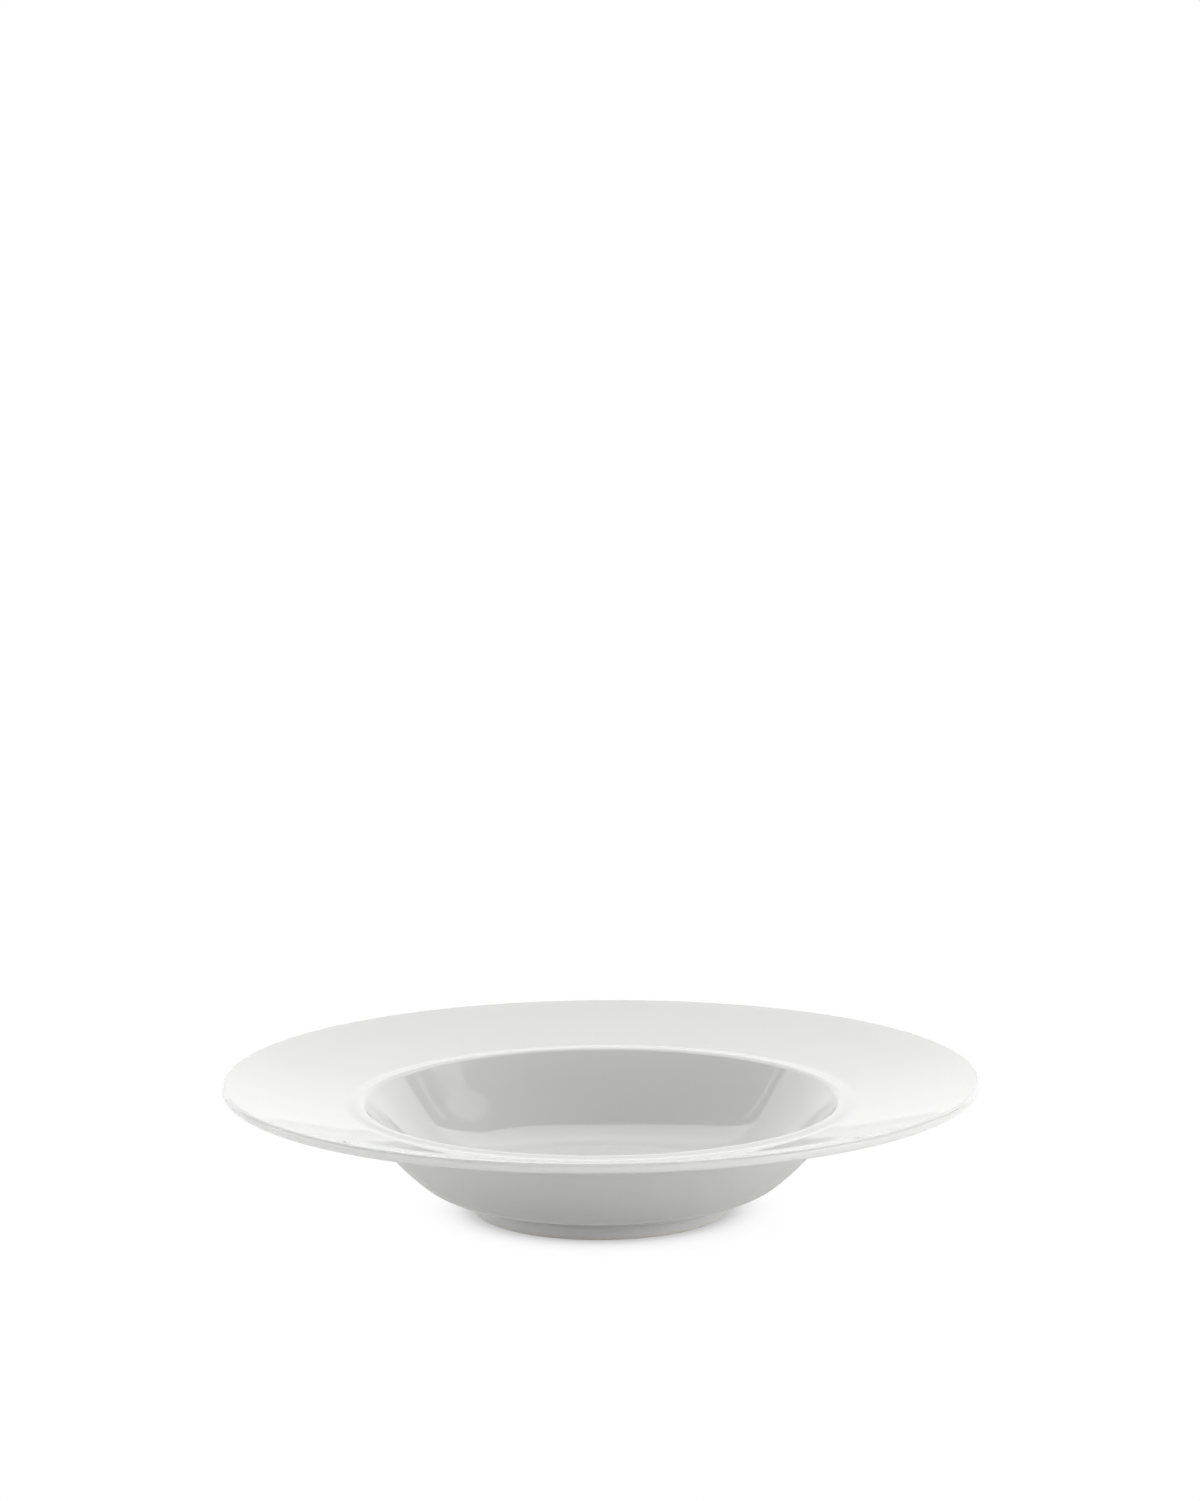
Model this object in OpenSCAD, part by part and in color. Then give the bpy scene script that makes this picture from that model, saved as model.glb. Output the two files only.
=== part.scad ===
// Wide-rimmed porcelain pasta bowl.
// Every piece is turned about the Z axis. The bowl stands on its foot ring at z = 0,
// and all sizes are millimetres of the glazed, finished ware.

/* [Overall] */
// Outside diameter of the rim
rim_d = 280; // [230:1:340]
// Height from the table to the top of the rim
height = 50.9; // [44:0.1:64]

/* [Rim] */
// Thickness of the rim at its outer edge
rim_t = 3.2; // [2.6:0.1:5]
// Radius on the upper corner of the rim's outer edge
rim_edge_r = 1.2; // [0.5:0.1:1.4]
// Radius on the lower corner of the rim's outer edge
rim_under_r = 1.5; // [0.5:0.1:1.8]
// How far the bend half way across the rim lies below a straight line over the rim
rim_dip = 0.8; // [0:0.1:1.6]
// Radius of the bend half way across the rim
bend_r = 350; // [100:10:600]
// Thickness straight down at the bend half way across the rim
bend_t = 3.6; // [2.8:0.1:5]

/* [Lip] */
// Thickness straight down under the lip, where the rim joins the well
lip_t = 4.6; // [3.8:0.1:7]
// Radius of the lip on the side of the well
lip_r = 3; // [1:0.5:6]
// Width of the low bead round the lip, from the well to its outer shoulder
bead_w = 2.7; // [2:0.1:6]
// Radius over the outer shoulder of the bead
bead_r = 12; // [2:0.5:20]
// Width from the shoulder of the bead to the bottom of the groove outside it
groove_w = 3.3; // [2:0.1:8]
// Depth of the groove below the top of the bead
groove_depth = 0.5; // [0:0.05:1]
// Radius at the bottom of the groove
groove_r = 12; // [2:0.5:30]
// Radius underneath the lip, between the wall and the rim
under_r = 10; // [3:0.5:20]

/* [Well] */
// Diameter of the well where the wall meets the rim
well_d = 176.6; // [160:0.2:210]
// Height of the lip above the table
lip_z = 41.4; // [34:0.1:46]
// Diameter of the bend half way up the wall
belly_d = 149.7; // [138:0.1:164]
// Height of the bend half way up the wall
belly_z = 23.5; // [18:0.1:30]
// Radius of the bend half way up the wall
belly_r = 86; // [20:1:120]
// Diameter at which the wall would meet the floor with no rounding
floor_d = 119; // [104:0.5:134]
// Height of the flat floor above the table
floor_z = 10.2; // [8.4:0.1:11.5]
// Radius between the flat floor and the wall
floor_r = 27; // [6:0.5:34]

/* [Thickness] */
// Thickness of the wall
wall_t = 3.5; // [2.6:0.1:5]
// Thickness of the floor inside the foot
floor_t = 4.5; // [3:0.1:6.5]
// Thickness of the glaze, which is part of every thickness above
glaze_t = 0.3; // [0.2:0.05:0.6]

/* [Base and foot] */
// Slope of the base between the foot and the wall, in degrees
base_slope = 17; // [8:0.5:24]
// Radius of the knuckle between the base and the wall
knuckle_r = 24.5; // [6:0.5:40]
// Outside diameter of the foot ring at the table
foot_d = 96; // [80:0.5:112]
// Height of the foot ring's outer side
foot_h = 6.2; // [3.6:0.1:7]
// Width of the foot ring at the table
foot_w = 4.5; // [3:0.1:10]
// How much further out the foot's outer side is at its top than at the table
foot_spread = 4; // [2:0.1:6]
// Lean of the foot's outer side at its top, in degrees
foot_flare = 57; // [45:1:62]
// Lean of the foot's two sides at the table, which lets it out of the mould, in degrees
foot_draft = 8; // [0:0.5:12]
// Radius of the hollow in the foot's outer side
foot_curve_r = 5.5; // [2:0.5:8]
// Radius on the two ground edges of the foot
foot_edge_r = 0.8; // [0.3:0.1:1]
// Radius between the foot's outer side and the base
foot_root_r = 0.8; // [0.5:0.1:3]
// Radius inside the foot, between its inner side and the recess
recess_r = 2.5; // [0.5:0.1:4]
// Height of the band at the foot that is wiped bare of glaze
bare_h = 1.2; // [1:0.1:2]

/* [Hidden] */
// Largest turn between two points of a rounding, in degrees
arc_step = 5;
// Largest share of a side that the roundings at its two ends may take
round_share = 0.97;
// Sides of a full turn in a drawn view
$fn = 180;

// Vector of length one along an angle
function ahead(angle) = [cos(angle), sin(angle)];

// Vector of length one along another vector
function unit(v) = v / norm(v);

// Angle of the line from one point to another
function slope(from, to) = atan2(to.y - from.y, to.x - from.x);

// Right-hand normal of a direction, which points into the porcelain
function inward(v) = [v.y, -v.x];

// Point beside a line at this angle, moved into the porcelain by t
function beside(p, angle, t) = p + inward(ahead(angle)) * t;

// Point where the line through p at one angle meets the line through q at another
function meet(p, p_angle, q, q_angle) =
    p + ahead(p_angle) * cross(q - p, ahead(q_angle)) / cross(ahead(p_angle), ahead(q_angle));

// Signed angle between the side that comes into corner b and the side that leaves it
function turn_at(a, b, c) =
    let (u = unit(b - a), w = unit(c - b))
    atan2(cross(u, w), u * w);

// Arc that leaves the side from a to b this far before the corner b and turns towards c
function rounding(a, b, c, reach) =
    let (
        u = unit(b - a),
        turn = turn_at(a, b, c),
        r = reach / tan(abs(turn) / 2),
        side = -sign(turn) * inward(u),
        centre = b - u * reach + side * r,
        steps = ceil(abs(turn) / arc_step)
    )
    [for (i = [0 : steps])
        let (swing = abs(turn) * i / steps)
        centre + (u * sin(swing) - side * cos(swing)) * r];

// Outline through corners that are each a point with a radius, shared out where sides are short
function rounded(corners) =
    let (
        last = len(corners) - 1,
        p = [for (corner = corners) corner[0]],
        wish = [for (i = [0 : last])
            i == 0 || i == last ? 0 : corners[i][1] * tan(abs(turn_at(p[i - 1], p[i], p[i + 1])) / 2)],
        room = [for (i = [0 : last - 1])
            min(1, round_share * norm(p[i + 1] - p[i]) / (wish[i] + wish[i + 1]))]
    )
    [for (i = [0 : last])
        each wish[i] == 0
            ? [p[i]]
            : rounding(p[i - 1], p[i], p[i + 1], wish[i] * min(room[i - 1], room[i]))];

// The same outline moved into the porcelain by t
function inset(path, t) =
    let (last = len(path) - 1)
    [for (i = [0 : last])
        let (
            before = max(i, 1),
            after = min(i, last - 1),
            u = inward(unit(path[before] - path[before - 1])),
            w = inward(unit(path[after + 1] - path[after])),
            n = unit(u + w)
        )
        path[i] + n * t / (n * u)];

function reversed(path) = [for (i = [len(path) - 1 : -1 : 0]) path[i]];

// Corners of the well, from its floor to its lip
floor_edge = [floor_d / 2, floor_z];
belly = [belly_d / 2, belly_z];
lip = [well_d / 2, lip_z];
lower_slope = slope(floor_edge, belly);
wall_slope = slope(belly, lip);

// The lip has a flat bead, and a shallow groove parts the bead from the rim
bead = lip + [bead_w, 0];
groove = bead + [groove_w, -groove_depth];

// The rim's upper face bends upwards half way across, then runs on and just touches the
// rounding of the rim's edge, so that the finished height is exact
edge_centre = [rim_d / 2 - rim_edge_r, height - rim_edge_r];
bend = (groove + edge_centre + [0, rim_edge_r]) / 2 - [0, rim_dip];
rim_slope = slope(bend, edge_centre) + asin(rim_edge_r / norm(edge_centre - bend));
rim_top = meet(bend, rim_slope, [rim_d / 2, 0], 90);

// The rim's underside follows its upper face
rim_bottom = [rim_d / 2, height - rim_t];
bend_under = bend - [0, bend_t];
under_slope = slope(lip - [0, lip_t], bend_under);

// The foot's outer side is hollow: steep at the table, and flared where it meets the base
foot_outside = [foot_d / 2, 0];
foot_inside = [foot_d / 2 - foot_w, 0];
outside_lean = 90 - foot_draft;
inside_lean = 90 + foot_draft;
foot_root = foot_outside + [foot_spread, foot_h];
foot_waist = meet(foot_outside, outside_lean, foot_root, 90 - foot_flare);
recess_top = [0, floor_z - floor_t];
recess_corner = meet(foot_inside, inside_lean, recess_top, 0);

// Corners of the outside, which follows the well at the wall's thickness
lower_side = beside(floor_edge, lower_slope, wall_t);
wall_side = beside(belly, wall_slope, wall_t);
lip_under = meet(bend_under, under_slope, wall_side, wall_slope);
outer_belly = meet(lower_side, lower_slope, wall_side, wall_slope);
outer_knuckle = meet(foot_root, base_slope, lower_side, lower_slope);

// Finished surface over the well, rim and outside, down to the bare band of the foot
bare_line = [0, bare_h];
coat_surface = rounded([
    [[0, floor_z]],
    [floor_edge, floor_r],
    [belly, belly_r],
    [lip, lip_r],
    [bead, bead_r],
    [groove, groove_r],
    [bend, bend_r],
    [rim_top, rim_edge_r],
    [rim_bottom, rim_under_r],
    [bend_under, bend_r],
    [lip_under, under_r],
    [outer_belly, belly_r + wall_t],
    [outer_knuckle, knuckle_r],
    [foot_root, foot_root_r],
    [foot_waist, foot_curve_r],
    [meet(foot_outside, outside_lean, bare_line, 0)]
]);
coat_back = inset(coat_surface, glaze_t);

// Finished surface inside the foot, from the bare band to the axis
base_surface = rounded([
    [meet(foot_inside, inside_lean, bare_line, 0)],
    [recess_corner, recess_r],
    [recess_top]
]);
base_back = inset(base_surface, glaze_t);

// Ground edge of the foot, bare porcelain between the two glazes
table = [0, 0];
coat_end = coat_back[len(coat_back) - 1];
base_start = base_back[0];
foot_edge = rounded([
    [coat_end],
    [meet(coat_end, outside_lean, table, 0), foot_edge_r],
    [meet(base_start, inside_lean, table, 0), foot_edge_r],
    [base_start]
]);
foot_ground = [for (i = [1 : len(foot_edge) - 2]) foot_edge[i]];

// One turned piece from its half section
module turned(outline) {
    rotate_extrude()
        polygon(outline);
}

// Fired porcelain under the glaze, bare only on the ground foot
module porcelain_body() {
    color("#e9e6df")
        turned(concat(coat_back, foot_ground, base_back));
}

// White glaze over the well, the rim, the outside and the foot's outer side
module glaze_coat() {
    color("#f4f4f2")
        turned(concat(coat_surface, reversed(coat_back)));
}

// White glaze inside the foot ring
module base_glaze() {
    color("#f4f4f2")
        turned(concat(base_surface, reversed(base_back)));
}

porcelain_body();
glaze_coat();
base_glaze();
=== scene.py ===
# %% [markdown]
# # A wide-rimmed porcelain pasta bowl
# The bowl is one turned body of hard porcelain under a skin of white glaze, and only the ground ring that
# it stands on is bare. The solids of the part are loaded first and stay as the frame: every piece below
# is made in metres in that same frame, so it is already in place and nothing is fitted afterwards.

# %% Load the frame
import math

import bpy
from mathutils import Matrix, Quaternion, Vector


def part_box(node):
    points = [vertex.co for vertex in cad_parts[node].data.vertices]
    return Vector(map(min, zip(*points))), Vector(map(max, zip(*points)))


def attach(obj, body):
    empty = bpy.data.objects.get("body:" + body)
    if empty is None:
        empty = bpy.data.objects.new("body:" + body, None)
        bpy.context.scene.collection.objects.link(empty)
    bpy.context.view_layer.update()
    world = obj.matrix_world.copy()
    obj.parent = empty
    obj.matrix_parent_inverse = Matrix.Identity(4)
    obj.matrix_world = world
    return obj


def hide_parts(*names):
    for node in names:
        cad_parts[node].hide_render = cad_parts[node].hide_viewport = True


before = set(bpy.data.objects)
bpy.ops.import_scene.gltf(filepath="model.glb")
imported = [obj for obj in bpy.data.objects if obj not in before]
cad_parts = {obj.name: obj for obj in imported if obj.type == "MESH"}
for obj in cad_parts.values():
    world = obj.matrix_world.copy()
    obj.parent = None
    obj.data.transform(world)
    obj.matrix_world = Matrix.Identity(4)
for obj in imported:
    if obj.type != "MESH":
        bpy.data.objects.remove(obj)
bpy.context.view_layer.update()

# %% [markdown]
# ## The camera
# A round rim seen as an ellipse tells where the camera stood. The bowl's own circles in the photograph
# fit a camera 1.2 m away, about 15 degrees above the table, whose view is aimed a little above the bowl
# and turned a little about its own axis. The matrix is put together from the directions right, up and
# back, because the small roll is easier to read that way than as Euler angles.

# %% Place the camera
CAMERA_DISTANCE = 1.2002
CAMERA_ELEVATION = math.radians(14.759)
CAMERA_PITCH = math.radians(-6.612)
CAMERA_YAW = math.radians(0.029)
CAMERA_ROLL = math.radians(-0.445)
PHOTO_HEIGHT_PX = 1501
FOCAL_PX = 3182.6
SENSOR_MM = 36

ahead = Vector((math.sin(CAMERA_YAW) * math.cos(CAMERA_PITCH),
                math.cos(CAMERA_YAW) * math.cos(CAMERA_PITCH),
                math.sin(CAMERA_PITCH)))
right = ahead.cross(Vector((0, 0, 1))).normalized()
right.rotate(Matrix.Rotation(-CAMERA_ROLL, 3, ahead))
above = right.cross(ahead)

camera = bpy.data.objects.new("camera", bpy.data.cameras.new("camera"))
camera.data.sensor_width = SENSOR_MM
camera.data.lens = SENSOR_MM * FOCAL_PX / PHOTO_HEIGHT_PX
camera.matrix_world = Matrix((right, above, -ahead)).transposed().to_4x4()
camera.location = CAMERA_DISTANCE * Vector((0, -math.cos(CAMERA_ELEVATION),
                                            math.sin(CAMERA_ELEVATION)))
bpy.context.scene.collection.objects.link(camera)
bpy.context.scene.camera = camera
print("camera lens", round(camera.data.lens, 2), "mm at", [round(c, 4) for c in camera.location])

# %% [markdown]
# ## The half section
# A jiggered bowl is a half section spun about its axis, so one outline holds the whole shape. Drawing the
# outline as a few corners, each with a radius, is how a potter's template is dimensioned, and it keeps
# every radius a number that can be read. The largest sizes come from the frame, the others are repeated
# here in millimetres.

# %% Sizes of the half section
MM = 0.001
coat_low, coat_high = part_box("glaze_coat")
base_low, base_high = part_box("base_glaze")
RIM_R = coat_high.x
HEIGHT = coat_high.z
BARE_H = coat_low.z
GLAZE_T = 0.3 * MM
RIM_T, RIM_EDGE_R, RIM_UNDER_R = 3.2 * MM, 1.2 * MM, 1.5 * MM
RIM_DIP, BEND_T, BEND_ROUND = 0.8 * MM, 3.6 * MM, 350 * MM
LIP_R, LIP_Z, LIP_T, LIP_ROUND = 88.3 * MM, 41.4 * MM, 4.6 * MM, 3 * MM
BEAD_W, BEAD_ROUND = 2.7 * MM, 12 * MM
GROOVE_W, GROOVE_DEPTH, GROOVE_ROUND = 3.3 * MM, 0.5 * MM, 12 * MM
UNDER_ROUND = 10 * MM
BELLY_R, BELLY_Z, BELLY_ROUND = 74.85 * MM, 23.5 * MM, 86 * MM
FLOOR_R, FLOOR_Z, FLOOR_ROUND = 59.5 * MM, 10.2 * MM, 27 * MM
WALL_T = 3.5 * MM
BASE_SLOPE, KNUCKLE_ROUND = 17, 24.5 * MM
FOOT_R, FOOT_H, FOOT_W, FOOT_SPREAD = 48 * MM, 6.2 * MM, 4.5 * MM, 4 * MM
FOOT_FLARE, FOOT_DRAFT, FOOT_CURVE_R = 57, 8, 5.5 * MM
FOOT_EDGE_R, FOOT_ROOT_R = 0.8 * MM, 0.8 * MM
RECESS_Z, RECESS_ROUND = base_high.z - GLAZE_T, 2.5 * MM
print("rim radius", round(RIM_R / MM, 2), "mm, height", round(HEIGHT / MM, 2), "mm")

# %% [markdown]
# Five small helpers draw the outline: a direction from an angle, the angle of a line, the normal that
# points into the clay, the crossing of two lines and the crossing of a line with a level. Angles are in
# degrees, measured up from the level.

# %% Lines of the half section
def along(angle):
    return Vector((math.cos(math.radians(angle)), math.sin(math.radians(angle))))


def slope(start, end):
    return math.degrees(math.atan2(end.y - start.y, end.x - start.x))


def into_clay(direction):
    return Vector((direction.y, -direction.x))


def meet(p, p_angle, q, q_angle):
    u, w = along(p_angle), along(q_angle)
    return p + u * ((q - p).cross(w) / u.cross(w))


def at_level(p, angle, z):
    return meet(p, angle, Vector((0, z)), 0)


# %% [markdown]
# The rounding of a corner is an arc that touches both sides. It is cut into steps of one degree, far
# finer than the solids need, because a glossy glaze shows every facet in its reflections. Straight runs
# are cut too, so that the smooth shading of an arc doesn't spread along a whole cone. An inset moves the
# whole outline into the clay, by the thickness of the glaze.

# %% Round the corners of an outline
ARC_STEP = 1.0
RUN_STEP = 2 * MM


def rounding(before, corner, after, radius):
    u = (corner - before).normalized()
    w = (after - corner).normalized()
    turn = math.atan2(u.cross(w), u.dot(w))
    reach = radius * math.tan(abs(turn) / 2)
    side = -math.copysign(1, turn) * into_clay(u)
    centre = corner - u * reach + side * radius
    steps = math.ceil(math.degrees(abs(turn)) / ARC_STEP)
    swings = [abs(turn) * i / steps for i in range(steps + 1)]
    return [centre + (u * math.sin(s) - side * math.cos(s)) * radius for s in swings]


def cut_runs(points):
    cut = [points[0]]
    for start, end in zip(points, points[1:]):
        pieces = max(1, math.ceil((end - start).length / RUN_STEP))
        cut += [start.lerp(end, i / pieces) for i in range(1, pieces + 1)]
    return cut


def rounded(corners):
    points = [corners[0][0]]
    for (before, _), (corner, radius), (after, _) in zip(corners, corners[1:], corners[2:]):
        points += rounding(before, corner, after, radius)
    points.append(corners[-1][0])
    return cut_runs(points)


def inset(path, depth):
    moved = []
    for i, point in enumerate(path):
        u = into_clay((path[max(i, 1)] - path[max(i, 1) - 1]).normalized())
        last = min(i, len(path) - 2)
        w = into_clay((path[last + 1] - path[last]).normalized())
        normal = (u + w).normalized()
        moved.append(point + normal * depth / normal.dot(u))
    return moved


# %% [markdown]
# The corners run from the middle of the floor up the well, over the lip and the rim, round the rim's
# edge, and down the outside to the foot, whose outer side is hollow. The outside follows the well at the
# thickness of the wall. The lip carries a low flat bead with a shallow groove outside it. The rim bends
# upwards half way across and then just touches the rounding of its edge, so the height comes out exact.
# Bead and bend are under a millimetre, but the rim is seen at so flat an angle that they decide which
# part of the studio it mirrors.

# %% Corners of the half section
floor_edge = Vector((FLOOR_R, FLOOR_Z))
belly = Vector((BELLY_R, BELLY_Z))
lip = Vector((LIP_R, LIP_Z))
lower_slope = slope(floor_edge, belly)
wall_slope = slope(belly, lip)
bead = lip + Vector((BEAD_W, 0))
groove = bead + Vector((GROOVE_W, -GROOVE_DEPTH))
edge_centre = Vector((RIM_R - RIM_EDGE_R, HEIGHT - RIM_EDGE_R))
bend = (groove + edge_centre + Vector((0, RIM_EDGE_R))) / 2 - Vector((0, RIM_DIP))
edge_turn = math.degrees(math.asin(RIM_EDGE_R / (edge_centre - bend).length))
rim_slope = slope(bend, edge_centre) + edge_turn
rim_top = meet(bend, rim_slope, Vector((RIM_R, 0)), 90)
rim_bottom = Vector((RIM_R, HEIGHT - RIM_T))
bend_under = bend - Vector((0, BEND_T))
under_slope = slope(lip - Vector((0, LIP_T)), bend_under)
foot_outside = Vector((FOOT_R, 0))
foot_inside = Vector((FOOT_R - FOOT_W, 0))
foot_root = Vector((FOOT_R + FOOT_SPREAD, FOOT_H))
outside_lean, inside_lean = 90 - FOOT_DRAFT, 90 + FOOT_DRAFT
foot_waist = meet(foot_outside, outside_lean, foot_root, 90 - FOOT_FLARE)
lower_side = floor_edge + into_clay(along(lower_slope)) * WALL_T
wall_side = belly + into_clay(along(wall_slope)) * WALL_T
lip_under = meet(bend_under, under_slope, wall_side, wall_slope)
outer_belly = meet(lower_side, lower_slope, wall_side, wall_slope)
outer_knuckle = meet(foot_root, BASE_SLOPE, lower_side, lower_slope)

coat_face = rounded([
    (Vector((0, FLOOR_Z)), 0),
    (floor_edge, FLOOR_ROUND),
    (belly, BELLY_ROUND),
    (lip, LIP_ROUND),
    (bead, BEAD_ROUND),
    (groove, GROOVE_ROUND),
    (bend, BEND_ROUND),
    (rim_top, RIM_EDGE_R),
    (rim_bottom, RIM_UNDER_R),
    (bend_under, BEND_ROUND),
    (lip_under, UNDER_ROUND),
    (outer_belly, BELLY_ROUND + WALL_T),
    (outer_knuckle, KNUCKLE_ROUND),
    (foot_root, FOOT_ROOT_R),
    (foot_waist, FOOT_CURVE_R),
    (at_level(foot_outside, outside_lean, BARE_H), 0),
])
recess_top = Vector((0, RECESS_Z))
base_face = rounded([
    (at_level(foot_inside, inside_lean, BARE_H), 0),
    (at_level(foot_inside, inside_lean, RECESS_Z), RECESS_ROUND),
    (recess_top, 0),
])
coat_back = inset(coat_face, GLAZE_T)
base_back = inset(base_face, GLAZE_T)
print("wall slope", round(wall_slope, 1), "rim slope", round(rim_slope, 1), "points", len(coat_face))

# %% [markdown]
# ## Spin the pieces
# A Screw modifier could spin the outline, but a ring of vertices per point, bridged by quads, keeps the
# mesh closed and even, and a point on the axis becomes one shared vertex instead of a pinched ring. 240
# steps round keep the rim of a 280 mm bowl within about a hundredth of a millimetre of a true circle.

# %% A function that spins a closed outline
TURN_STEPS = 240
ON_AXIS = 1e-9
SHARP_ANGLE = math.radians(35)


def spin(name, outline, node, material):
    vertices, rings, faces = [], [], []
    for point in outline:
        steps = 1 if point.x < ON_AXIS else TURN_STEPS
        rings.append([len(vertices) + i for i in range(steps)])
        turns = [math.tau * i / steps for i in range(steps)]
        vertices += [(point.x * math.cos(t), point.x * math.sin(t), point.y) for t in turns]
    for ring, after in zip(rings, rings[1:] + rings[:1]):
        for i in range(max(len(ring), len(after))):
            if len(ring) == len(after) == 1:
                continue
            j = i + 1
            corners = [ring[i % len(ring)], after[i % len(after)],
                       after[j % len(after)], ring[j % len(ring)]]
            faces.append(list(dict.fromkeys(corners)))
    mesh = bpy.data.meshes.new(name)
    mesh.from_pydata(vertices, [], faces)
    mesh.polygons.foreach_set("use_smooth", [True] * len(mesh.polygons))
    mesh.set_sharp_from_angle(angle=SHARP_ANGLE)
    mesh.materials.append(material)
    piece = bpy.data.objects.new(name, mesh)
    bpy.context.scene.collection.objects.link(piece)
    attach(piece, "root")
    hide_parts(node)
    print(name, len(vertices), "vertices", len(faces), "faces")
    return piece


# %% [markdown]
# ## Materials
# Colours are written as sRGB hex values, as a colour picker shows them, and one function turns them into
# the linear values that the shader wants. One more function adds a node with its settings and its links.

# %% Helpers for colours and nodes
def linear(hex_colour):
    channels = [int(hex_colour[i:i + 2], 16) / 255 for i in (1, 3, 5)]
    return [c / 12.92 if c <= 0.04045 else ((c + 0.055) / 1.055) ** 2.4 for c in channels] + [1]


def add(tree, kind, settings=None, values=None, links=None):
    node = tree.nodes.new(kind)
    for name, value in (settings or {}).items():
        setattr(node, name, value)
    for socket, value in (values or {}).items():
        node.inputs[socket].default_value = value
    for socket, source in (links or {}).items():
        tree.links.new(source, node.inputs[socket])
    return node


def new_material(name):
    material = bpy.data.materials.new(name)
    material.use_nodes = True
    material.node_tree.nodes.clear()
    return material, material.node_tree


# %% [markdown]
# ### Glazed hard porcelain
# The glaze is feldspar glass melted onto a white body at about 1400 degrees. It flows out almost flat, so
# it shows sharp reflections, and it is a little uneven over centimetres because it was poured on. The
# Principled shader is a dielectric over a diffuse base, which is what clear glass on white clay is, so
# its own Fresnel does the rest. Thin porcelain lets light through, and this base is opaque, so the glow
# of that light is painted instead: the colour is lighter over the last 1.5 mm of the rim.

# %% Material: glazed hard porcelain
GLAZE_IOR = 1.5
GLAZE_ROUGHNESS = 0.03
GLAZE_LIGHT = "#e7e7e6"
GLAZE_SHADE = "#e3e3e2"
# painted light: this lighter colour paints the glow of light shining through the thin rim edge
PAINTED_EDGE_GLOW_COLOUR = "#f0f0ef"
EDGE_GLOW_W = 1.5 * MM
POUR_SIZE = 45 * MM
RIPPLE_SIZE = 14 * MM
RIPPLE_DEPTH = 0.0015 * MM


def glazed_porcelain():
    material, tree = new_material("glazed_hard_porcelain")
    place = add(tree, "ShaderNodeTexCoord")
    pour = add(tree, "ShaderNodeTexNoise", values={"Scale": 1 / POUR_SIZE, "Detail": 2},
               links={"Vector": place.outputs["Object"]})
    colour = add(tree, "ShaderNodeMix", {"data_type": "RGBA"},
                 {6: linear(GLAZE_LIGHT), 7: linear(GLAZE_SHADE)}, {"Factor": pour.outputs["Fac"]})
    flat = add(tree, "ShaderNodeVectorMath", {"operation": "MULTIPLY"}, {1: (1, 1, 0)},
               {0: place.outputs["Object"]})
    radius = add(tree, "ShaderNodeVectorMath", {"operation": "LENGTH"}, links={0: flat.outputs[0]})
    # painted light: over the last 1.5 mm of the rim the colour turns lighter, to paint light shining
    # through thin porcelain
    painted_glow_share = add(tree, "ShaderNodeMapRange", {}, {"From Min": RIM_R - EDGE_GLOW_W, "From Max": RIM_R},
               {"Value": radius.outputs["Value"]})
    colour = add(tree, "ShaderNodeMix", {"data_type": "RGBA"}, {7: linear(PAINTED_EDGE_GLOW_COLOUR)},
                 {"Factor": painted_glow_share.outputs["Result"], 6: colour.outputs[2]})
    ripple = add(tree, "ShaderNodeTexNoise", values={"Scale": 1 / RIPPLE_SIZE, "Detail": 1},
                 links={"Vector": place.outputs["Object"]})
    bump = add(tree, "ShaderNodeBump", values={"Strength": 1, "Distance": RIPPLE_DEPTH},
               links={"Height": ripple.outputs["Fac"]})
    shader = add(tree, "ShaderNodeBsdfPrincipled",
                 values={"Roughness": GLAZE_ROUGHNESS, "IOR": GLAZE_IOR},
                 links={"Base Color": colour.outputs[2], "Normal": bump.outputs["Normal"]})
    add(tree, "ShaderNodeOutputMaterial", links={"Surface": shader.outputs["BSDF"]})
    return material


glaze = glazed_porcelain()
print("material", glaze.name)

# %% [markdown]
# ### Ground bisque
# The ring that the bowl stands on is wiped clean of glaze before the firing and ground smooth after it.
# Bare hard porcelain is dense and faintly warm, with a dry, fine-grained face and no gloss.

# %% Material: ground bisque porcelain
BISQUE_LIGHT = "#ebe8e1"
BISQUE_SHADE = "#dedad1"
GRIT_SIZE = 0.5 * MM
GRIT_DEPTH = 0.05 * MM
BISQUE_ROUGHNESS = 0.75


def ground_bisque():
    material, tree = new_material("ground_bisque_porcelain")
    place = add(tree, "ShaderNodeTexCoord")
    grit = add(tree, "ShaderNodeTexNoise", values={"Scale": 1 / GRIT_SIZE, "Detail": 3},
               links={"Vector": place.outputs["Object"]})
    colour = add(tree, "ShaderNodeMix", {"data_type": "RGBA"},
                 {6: linear(BISQUE_LIGHT), 7: linear(BISQUE_SHADE)}, {"Factor": grit.outputs["Fac"]})
    bump = add(tree, "ShaderNodeBump", values={"Strength": 1, "Distance": GRIT_DEPTH},
               links={"Height": grit.outputs["Fac"]})
    shader = add(tree, "ShaderNodeBsdfPrincipled", values={"Roughness": BISQUE_ROUGHNESS},
                 links={"Base Color": colour.outputs[2], "Normal": bump.outputs["Normal"]})
    add(tree, "ShaderNodeOutputMaterial", links={"Surface": shader.outputs["BSDF"]})
    return material


bisque = ground_bisque()
print("material", bisque.name)

# %% [markdown]
# ## The three pieces
# The glaze coat is a closed skin 0.3 mm thick, the porcelain body fills the space inside it down to the
# ground foot, and a second skin of glaze lies inside the foot ring.

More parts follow.
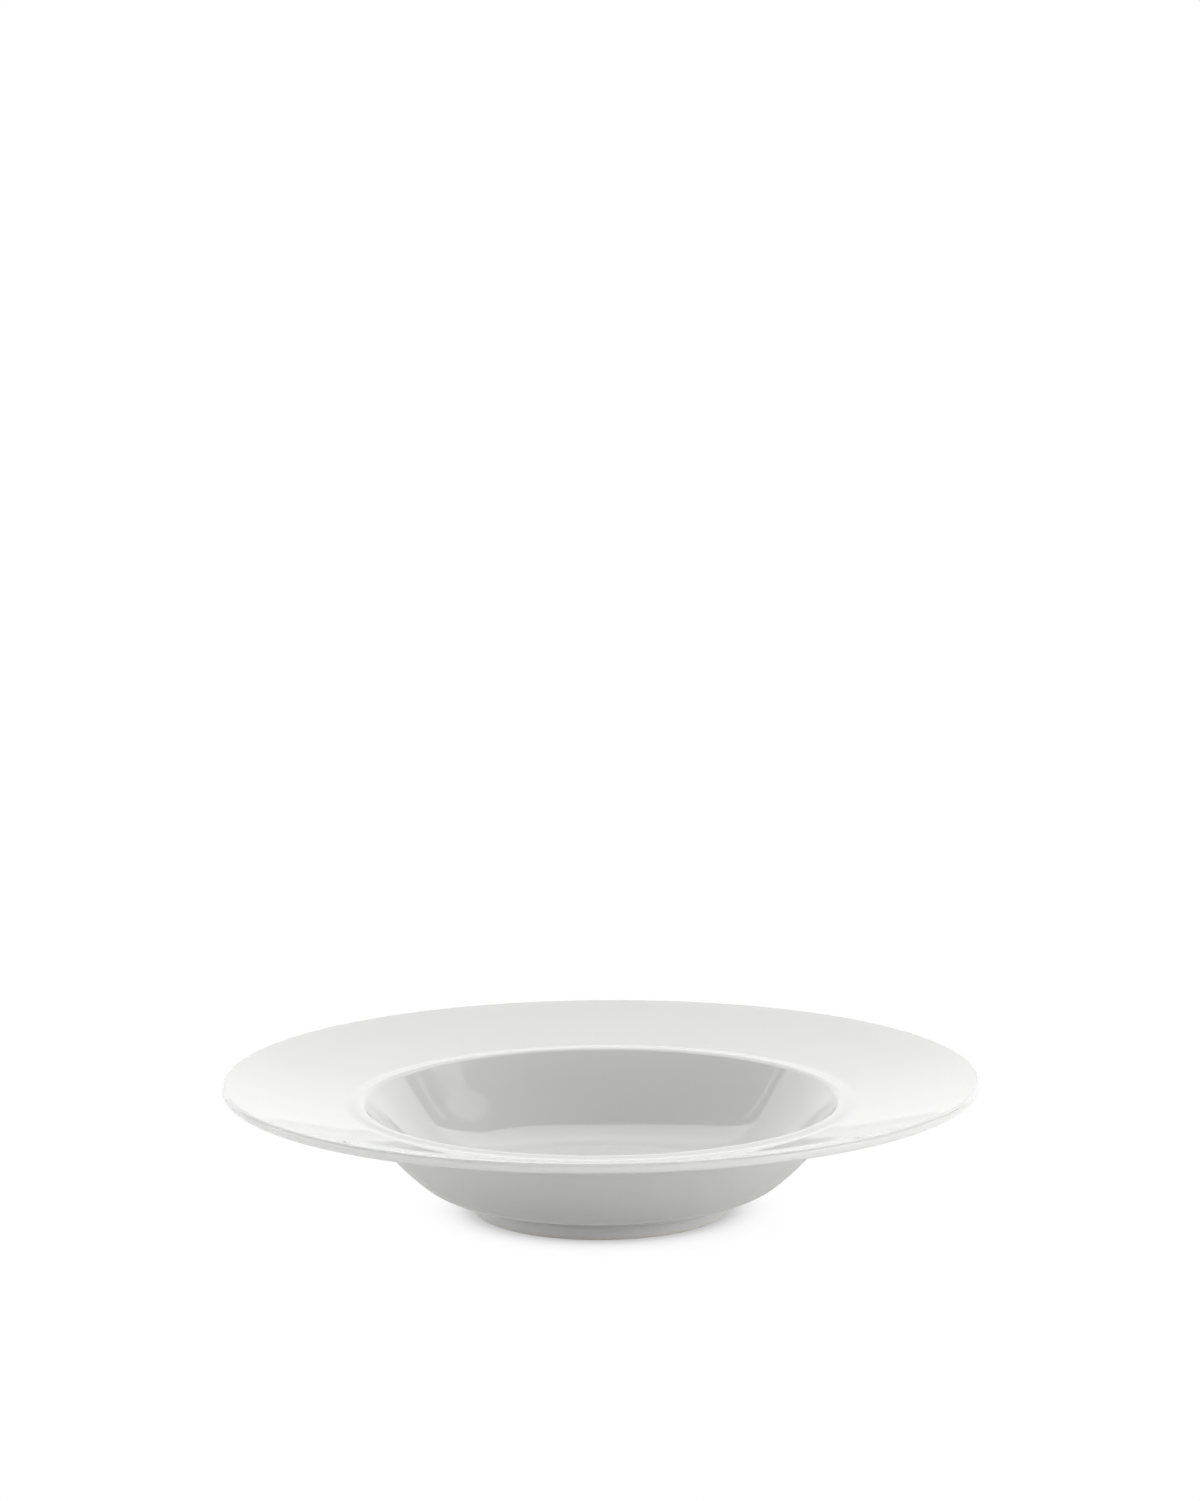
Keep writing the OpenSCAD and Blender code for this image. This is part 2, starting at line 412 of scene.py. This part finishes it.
# %% Spin the glaze coat, the body and the base glaze
foot_edge = rounded([
    (coat_back[-1], 0),
    (at_level(coat_back[-1], outside_lean, 0), FOOT_EDGE_R),
    (at_level(base_back[0], inside_lean, 0), FOOT_EDGE_R),
    (base_back[0], 0),
])
spin("glaze_coat_skin", coat_face + coat_back[::-1], "glaze_coat", glaze)
body_face = coat_back + foot_edge[1:-1] + base_back
spin("porcelain_body_clay", body_face, "porcelain_body", bisque)
spin("base_glaze_skin", base_face + base_back[::-1], "base_glaze", glaze)

# %% [markdown]
# ## The floor
# The bowl stands on plain white paper that is so brightly lit that it has no tone of its own. For the
# light that bounces, the paper is an ordinary white. For the camera and for reflections it glows at 1,
# which is white. Close to the bowl, ambient occlusion darkens it: the camera sees a short, soft contact
# shadow, only where less than a fifth of the light still reaches the paper, because paper that is several
# stops too bright shows a shadow late. What the glaze mirrors is darkened less but further out, in the
# shelter of the rim. Occlusion is slow to trace, so only the middle of the sheet has it.

# %% Floor: white studio paper
FLOOR_HALF, CLOSE_HALF = 4, 0.4
PAPER = "#f2f2f2"
CONTACT_REACH, CONTACT_SAMPLES = 60 * MM, 48
CONTACT_SHUT, CONTACT_OPEN, CONTACT_CURVE = 0.02, 0.2, 0.7
SHELTER_REACH, SHELTER_SAMPLES = 250 * MM, 12
SHELTER_OPEN, SHELTER_GLOW = 0.65, 0.5


def near_glow(tree, camera_ray):
    contact = add(tree, "ShaderNodeAmbientOcclusion", {"samples": CONTACT_SAMPLES},
                  {"Distance": CONTACT_REACH})
    open_share = add(tree, "ShaderNodeMapRange", {}, {"From Min": CONTACT_SHUT, "From Max": CONTACT_OPEN},
                     {"Value": contact.outputs["AO"]})
    exposed = add(tree, "ShaderNodeMath", {"operation": "POWER"}, {1: CONTACT_CURVE},
                  {0: open_share.outputs["Result"]})
    shelter = add(tree, "ShaderNodeAmbientOcclusion", {"samples": SHELTER_SAMPLES},
                  {"Distance": SHELTER_REACH})
    sheltered = add(tree, "ShaderNodeMapRange", {}, {"From Max": SHELTER_OPEN, "To Min": SHELTER_GLOW},
                    {"Value": shelter.outputs["AO"]})
    return add(tree, "ShaderNodeMix", {"data_type": "FLOAT"},
               links={0: camera_ray, 2: sheltered.outputs["Result"], 3: exposed.outputs[0]}).outputs[0]


def studio_paper(name, close):
    material, tree = new_material(name)
    path = add(tree, "ShaderNodeLightPath")
    seen = add(tree, "ShaderNodeMath", {"operation": "MAXIMUM"},
               links={0: path.outputs["Is Camera Ray"], 1: path.outputs["Is Glossy Ray"]})
    seen = add(tree, "ShaderNodeMath", {"operation": "MAXIMUM"},
               links={0: seen.outputs[0], 1: path.outputs["Is Transmission Ray"]})
    shade = {"Color": near_glow(tree, path.outputs["Is Camera Ray"])} if close else {}
    glow = add(tree, "ShaderNodeEmission", links=shade)
    paper = add(tree, "ShaderNodeBsdfDiffuse", values={"Color": linear(PAPER)})
    both = add(tree, "ShaderNodeMixShader",
               links={0: seen.outputs[0], 1: paper.outputs[0], 2: glow.outputs[0]})
    add(tree, "ShaderNodeOutputMaterial", links={"Surface": both.outputs[0]})
    return material


cuts = (-FLOOR_HALF, -CLOSE_HALF, CLOSE_HALF, FLOOR_HALF)
row = len(cuts)
starts = [i + row * j for j in range(row - 1) for i in range(row - 1)]
sheet = bpy.data.meshes.new("paper_floor")
sheet.from_pydata([(x, y, 0) for y in cuts for x in cuts], [],
                  [(i, i + 1, i + 1 + row, i + row) for i in starts])
sheet.materials.append(studio_paper("white_studio_paper", False))
sheet.materials.append(studio_paper("white_studio_paper_under_bowl", True))
middle_square = len(starts) // 2
sheet.polygons[middle_square].material_index = 1
paper_floor = bpy.data.objects.new("paper_floor", sheet)
bpy.context.scene.collection.objects.link(paper_floor)
print("floor", 2 * FLOOR_HALF, "m wide,", 2 * CLOSE_HALF, "m with contact shadow")

# %% [markdown]
# ## Lamps
# Glossy ware is lit by what it reflects, so each lamp is placed by the part of the bowl that mirrors it.
# The main light is one large sheet of diffusion that leans over the bowl from behind: the far rim mirrors
# its lower half, and the bright band round the floor of the well mirrors its upper edge. The side of the
# camera stays dim up high. That dim part is what the far wall of the well mirrors, so it shows as a grey
# shape with rounded lower corners. The glow of a lamp is its radiance: 1 is as bright as white paper in
# the picture.

# %% A function that hangs a softbox
def softbox(name, centre, faces, width, height, glow):
    lamp = bpy.data.lights.new(name, "AREA")
    lamp.shape = "RECTANGLE"
    lamp.size = width
    lamp.size_y = height
    lamp.energy = glow * math.pi * width * height
    holder = bpy.data.objects.new(name, lamp)
    holder.location = centre
    holder.rotation_mode = "QUATERNION"
    holder.rotation_quaternion = Vector(faces).to_track_quat("-Z", "Y")
    holder.visible_camera = False
    bpy.context.scene.collection.objects.link(holder)
    print("lamp", name, "glow", glow, "power", round(lamp.energy, 1), "W")
    return holder


# %% [markdown]
# The backdrop is one plane that leans over the bowl from behind. Its lower part is a wide sheet that goes
# on under the floor, so the backdrop that the rim mirrors has no gap, and it is a little dimmer there,
# because the near rim mirrors it at the flattest angle. The sheet ends at a seam that isn't quite level,
# and a brighter scrim with rounded upper corners stands above it. The lamp's own nodes draw the seam and
# the corners, because the walls of the well mirror the whole outline. A lamp that faces the bowl has its
# own X axis reversed.

# %% The leaning backdrop
LEAN, AWAY = 30, 0.9
BACK_HALF, BACK_LOW, BACK_HIGH = 1.1, -0.8, 1.3
SHEET_GLOW = 1.42
SHEET_DIM, SHEET_DIM_LOW, SHEET_DIM_HIGH = 0.87, -0.42, -0.2
SEAM_HEIGHT, SEAM_TILT = 0.25, 0.1
SCRIM_MIDDLE, SCRIM_HALF, SCRIM_HIGH = -0.02, 0.665, 1.25
SCRIM_CORNER, SCRIM_GAIN = 0.4, 1.62
EDGE_FADE = 0.03

back = Vector((0, *along(LEAN)))
upward = Vector((0, *along(LEAN + 90)))


def hang(name, left_end, right_end, low, high, glow, away=AWAY):
    middle = back * away + upward * (low + high) / 2 + Vector(((left_end + right_end) / 2, 0, 0))
    return softbox(name, middle, -back, right_end - left_end, high - low, glow)


def light_backdrop(lamp, middle):
    lamp.use_nodes = True
    tree = lamp.node_tree
    tree.nodes.clear()
    place = add(tree, "ShaderNodeTexCoord")
    spot = add(tree, "ShaderNodeVectorMath", {"operation": "MULTIPLY_ADD"},
               {1: (-1, 1, 0), 2: (-SCRIM_MIDDLE, middle, 0)}, {0: place.outputs["Object"]})
    lifted = add(tree, "ShaderNodeVectorMath", {"operation": "DOT_PRODUCT"}, {1: (SEAM_TILT, 1, 0)},
                 {0: spot.outputs[0]})
    over_seam = add(tree, "ShaderNodeMapRange", {"interpolation_type": "SMOOTHSTEP"},
                    {"From Min": SEAM_HEIGHT - EDGE_FADE / 2, "From Max": SEAM_HEIGHT + EDGE_FADE / 2},
                    {"Value": lifted.outputs["Value"]})
    axes = add(tree, "ShaderNodeSeparateXYZ", links={0: spot.outputs[0]})
    across = add(tree, "ShaderNodeMath", {"operation": "ABSOLUTE"}, links={0: axes.outputs["X"]})
    folded = add(tree, "ShaderNodeCombineXYZ", links={"X": across.outputs[0], "Y": axes.outputs["Y"]})
    square = (SCRIM_HALF - SCRIM_CORNER, SCRIM_HIGH - SCRIM_CORNER, 0)
    past = add(tree, "ShaderNodeVectorMath", {"operation": "SUBTRACT"}, {1: square}, {0: folded.outputs[0]})
    past = add(tree, "ShaderNodeVectorMath", {"operation": "MAXIMUM"}, {1: (0, 0, 0)}, {0: past.outputs[0]})
    past = add(tree, "ShaderNodeVectorMath", {"operation": "LENGTH"}, links={0: past.outputs[0]})
    scrim = add(tree, "ShaderNodeMapRange", {"interpolation_type": "SMOOTHSTEP"},
                {"From Min": SCRIM_CORNER - EDGE_FADE, "From Max": SCRIM_CORNER,
                 "To Min": SCRIM_GAIN, "To Max": 0},
                {"Value": past.outputs["Value"]})
    lower = add(tree, "ShaderNodeMapRange", {},
                {"From Min": SHEET_DIM_LOW, "From Max": SHEET_DIM_HIGH, "To Min": SHEET_DIM, "To Max": 1},
                {"Value": axes.outputs["Y"]})
    level = add(tree, "ShaderNodeMix", {"data_type": "FLOAT"},
                links={0: over_seam.outputs["Result"], 2: lower.outputs["Result"],
                       3: scrim.outputs["Result"]})
    glow = add(tree, "ShaderNodeEmission", links={"Strength": level.outputs[0]})
    add(tree, "ShaderNodeOutputLight", links={"Surface": glow.outputs[0]})


backdrop = hang("leaning_backdrop", -BACK_HALF, BACK_HALF, BACK_LOW, BACK_HIGH, SHEET_GLOW)
light_backdrop(backdrop.data, (BACK_LOW + BACK_HIGH) / 2)

# %% [markdown]
# Three faint shapes hang just in front of the backdrop, where the walls of the well mirror them: a thin
# line of light over the seam at each end, and a slanting patch at the right whose edge fades out. Two
# lamps in one plane would hide each other, so these hang a little closer.

# %% Stray light in front of the backdrop
STRAY_AWAY = 0.88
PATCH_SLANT, PATCH_CORE = 52, 0.75


def fade_out(lamp):
    lamp.use_nodes = True
    tree = lamp.node_tree
    tree.nodes.clear()
    place = add(tree, "ShaderNodeTexCoord")
    share = add(tree, "ShaderNodeVectorMath", {"operation": "MULTIPLY"},
                {1: (2 / lamp.size, 2 / lamp.size_y, 0)}, {0: place.outputs["Object"]})
    out = add(tree, "ShaderNodeVectorMath", {"operation": "LENGTH"}, links={0: share.outputs[0]})
    level = add(tree, "ShaderNodeMapRange", {"interpolation_type": "SMOOTHSTEP"},
                {"From Min": PATCH_CORE, "From Max": 1, "To Min": 1, "To Max": 0},
                {"Value": out.outputs["Value"]})
    glow = add(tree, "ShaderNodeEmission", links={"Strength": level.outputs["Result"]})
    add(tree, "ShaderNodeOutputLight", links={"Surface": glow.outputs[0]})


hang("stray_line_left", -1.1, -0.72, 0.43, 0.48, 1.0, STRAY_AWAY)
hang("stray_line_right", 0.72, 1.1, 0.3, 0.35, 1.0, STRAY_AWAY)
patch = hang("stray_patch_right", 0.5, 1.7, 0.66, 1.12, 1.1, STRAY_AWAY)
patch.rotation_quaternion @= Quaternion((0, 0, 1), math.radians(-PATCH_SLANT))
fade_out(patch.data)

# %% [markdown]
# The other lamps are plain panels round the bowl, each given by its azimuth from the back, its elevation,
# its size and its glow. Low flats light the outside of the bowl from the sides, and one panel over the
# camera lights the edge of the rim. That one stays under 56 degrees, or the far wall would show it.

# %% Panels round the bowl
PANEL_AWAY = 1.1


def toward(azimuth, elevation):
    level = along(elevation)
    turn = math.radians(azimuth)
    return Vector((math.sin(turn) * level.x, math.cos(turn) * level.x, level.y))


def panel(name, azimuth, elevation, width, height, glow):
    way = toward(azimuth, elevation)
    return softbox(name, way * PANEL_AWAY, -way, width, height, glow)


panel("side_flat_left_far", -85, 7, 0.585, 0.27, 2.5)
panel("side_flat_left_tall", -85, 21, 0.55, 0.27, 1.1)
panel("side_flat_left_near", -119, 7, 0.752, 0.27, 3.8)
panel("side_flat_right_far", 85, 7, 0.585, 0.27, 1.85)
panel("side_flat_right_near", 119, 7, 0.752, 0.27, 4.9)
panel("side_flat_right_tall", 119, 22, 0.702, 0.309, 2.2)
panel("camera_side_panel", 180, 46, 1.28, 0.39, 2.0)

# %% [markdown]
# ## World and colour
# The camera sees a white background from the world. The world gives the bowl no light of its own, so that
# the lamps alone decide what the glaze mirrors.

# %% World and view
world = bpy.data.worlds.new("studio")
world.use_nodes = True
world.node_tree.nodes.clear()
rays = add(world.node_tree, "ShaderNodeLightPath")
background = add(world.node_tree, "ShaderNodeBackground", values={"Color": (1, 1, 1, 1)},
                 links={"Strength": rays.outputs["Is Camera Ray"]})
add(world.node_tree, "ShaderNodeOutputWorld", links={"Surface": background.outputs[0]})
bpy.context.scene.world = world
bpy.context.scene.view_settings.view_transform = "Standard"
print("world", world.name, "is white for the camera only")
